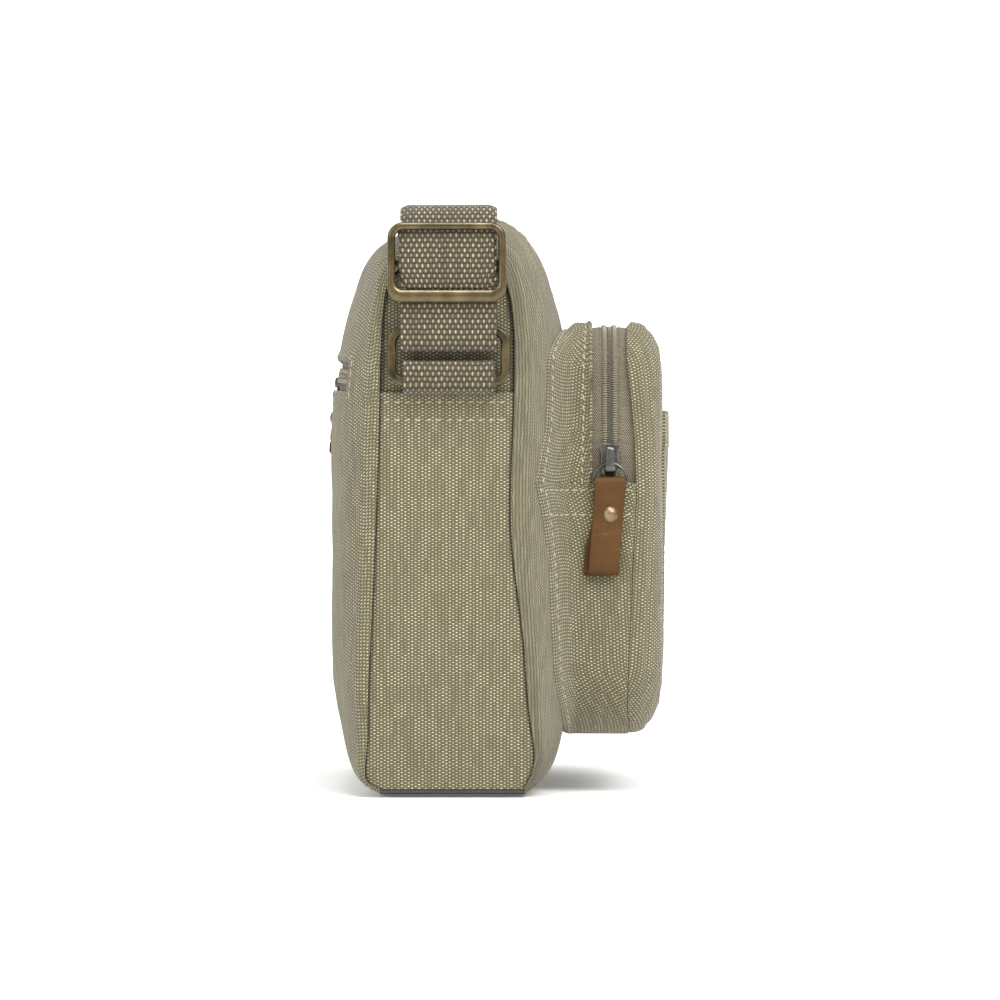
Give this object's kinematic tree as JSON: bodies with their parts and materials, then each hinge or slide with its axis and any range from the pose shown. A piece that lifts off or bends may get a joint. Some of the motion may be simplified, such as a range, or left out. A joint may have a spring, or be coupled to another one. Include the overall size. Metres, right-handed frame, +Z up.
{
  "type": "messenger bag",
  "caption": "Canvas messenger bag with a domed zipped front pocket, zipped top and back pocket, and an adjustable webbing strap on brass rings.",
  "frame": {"origin": "middle of the flat base, on the surface the bag stands on", "axes": "+Z up, +Y towards the back that rests on the wearer, -Y towards the front pocket, X along the width with the strap adjuster at the -X end"},
  "size_m": [0.3005, 0.1443, 0.2372],
  "materials": {
    "canvas": "heavy plain-weave canvas, matte",
    "lining": "thin lining cloth",
    "board": "stiffener sheet",
    "binding": "dark grosgrain tape",
    "zip_tape": "woven polyester tape",
    "zip_coil": "nylon coil",
    "webbing": "heavy cotton webbing",
    "elastic": "elastic band",
    "brass": "antique brass, darkened",
    "slider_metal": "gunmetal",
    "leather": "vegetable-tanned, waxed"
  },
  "bodies": {
    "bag": {"gusset_lower_left": "canvas", "gusset_upper_left": "canvas", "gusset_lower_right": "canvas", "gusset_upper_right": "canvas", "base_panel": "canvas", "front_panel": "canvas", "back_panel": "canvas", "base_board": "board", "lining": "lining", "back_pocket_pouch": "lining", "back_zip_tapes": "zip_tape", "back_zip_coils": "zip_coil", "main_zip_tapes": "zip_tape", "main_zip_coils": "zip_coil", "pocket_side_upper": "canvas", "pocket_side_lower": "canvas", "pocket_face": "canvas", "pocket_zip_tapes": "zip_tape", "pocket_zip_coils": "zip_coil", "slip_pocket": "canvas", "pocket_seam_binding": "binding", "ring_tab_left": "webbing", "ring_tab_right": "webbing", "strap_ring_right": "brass", "strap_top_run": "webbing", "strap_folded_hank": "webbing", "strap_keeper": "elastic"},
    "left_ring": {"strap_ring_left": "brass", "strap_left_run": "webbing"},
    "adjuster": {"strap_adjuster": "brass", "strap_sewn_eye": "webbing"},
    "pocket_slider": {"pocket_slider": "slider_metal"},
    "pocket_ring": {"pocket_pull_ring": "slider_metal"},
    "pocket_pull": {"pocket_pull_leather": "leather", "pocket_pull_rivet": "brass"},
    "back_slider": {"back_slider": "slider_metal"},
    "back_ring": {"back_pull_ring": "slider_metal"},
    "back_pull": {"back_pull_leather": "leather", "back_pull_rivet": "brass"},
    "main_slider": {"main_slider": "slider_metal"},
    "main_ring": {"main_pull_ring": "slider_metal"},
    "main_pull": {"main_pull_leather": "leather", "main_pull_rivet": "brass"}
  },
  "joints": [
    {"name": "left_ring_swing", "type": "hinge", "parent": "bag", "child": "left_ring", "pos_m": [-0.134, 0.0025, 0.1662], "axis": [0, -1, 0], "range_deg": [0, 25]},
    {"name": "adjuster_slide", "type": "slide", "parent": "left_ring", "child": "adjuster", "axis": [0, 0, 1], "range_m": [-0.006, 0.006]},
    {"name": "pocket_zip_slide", "type": "slide", "parent": "bag", "child": "pocket_slider", "axis": [0, 0, 1], "range_m": [0, 0.026]},
    {"name": "pocket_ring_swing", "type": "hinge", "parent": "pocket_slider", "child": "pocket_ring", "pos_m": [-0.1079, -0.0625, 0.1336], "axis": [0, 1, 0], "range_deg": [0, 100]},
    {"name": "pocket_pull_swing", "type": "hinge", "parent": "pocket_ring", "child": "pocket_pull", "pos_m": [-0.1079, -0.0625, 0.1259], "axis": [0, 1, 0], "range_deg": [0, 60]},
    {"name": "back_zip_slide", "type": "slide", "parent": "bag", "child": "back_slider", "axis": [1, 0, 0], "range_m": [-0.138, 0.014]},
    {"name": "back_ring_swing", "type": "hinge", "parent": "back_slider", "child": "back_ring", "pos_m": [0.062, 0.05204, 0.16997], "axis": [0, -0.1294, 0.9916], "range_deg": [0, 100]},
    {"name": "back_pull_swing", "type": "hinge", "parent": "back_ring", "child": "back_pull", "pos_m": [0.0676, 0.05291, 0.16323], "axis": [1, 0, 0], "range_deg": [0, 60]},
    {"name": "main_zip_slide", "type": "slide", "parent": "bag", "child": "main_slider", "axis": [1, 0, 0], "range_m": [-0.168, 0]},
    {"name": "main_ring_swing", "type": "hinge", "parent": "main_slider", "child": "main_ring", "pos_m": [0.0824, -0.02373, 0.23255], "axis": [0, 0.8614, 0.508], "range_deg": [0, 100]},
    {"name": "main_pull_swing", "type": "hinge", "parent": "main_ring", "child": "main_pull", "pos_m": [0.0747, -0.02373, 0.23255], "axis": [0, 0.8614, 0.508], "range_deg": [0, 60]}
  ]
}
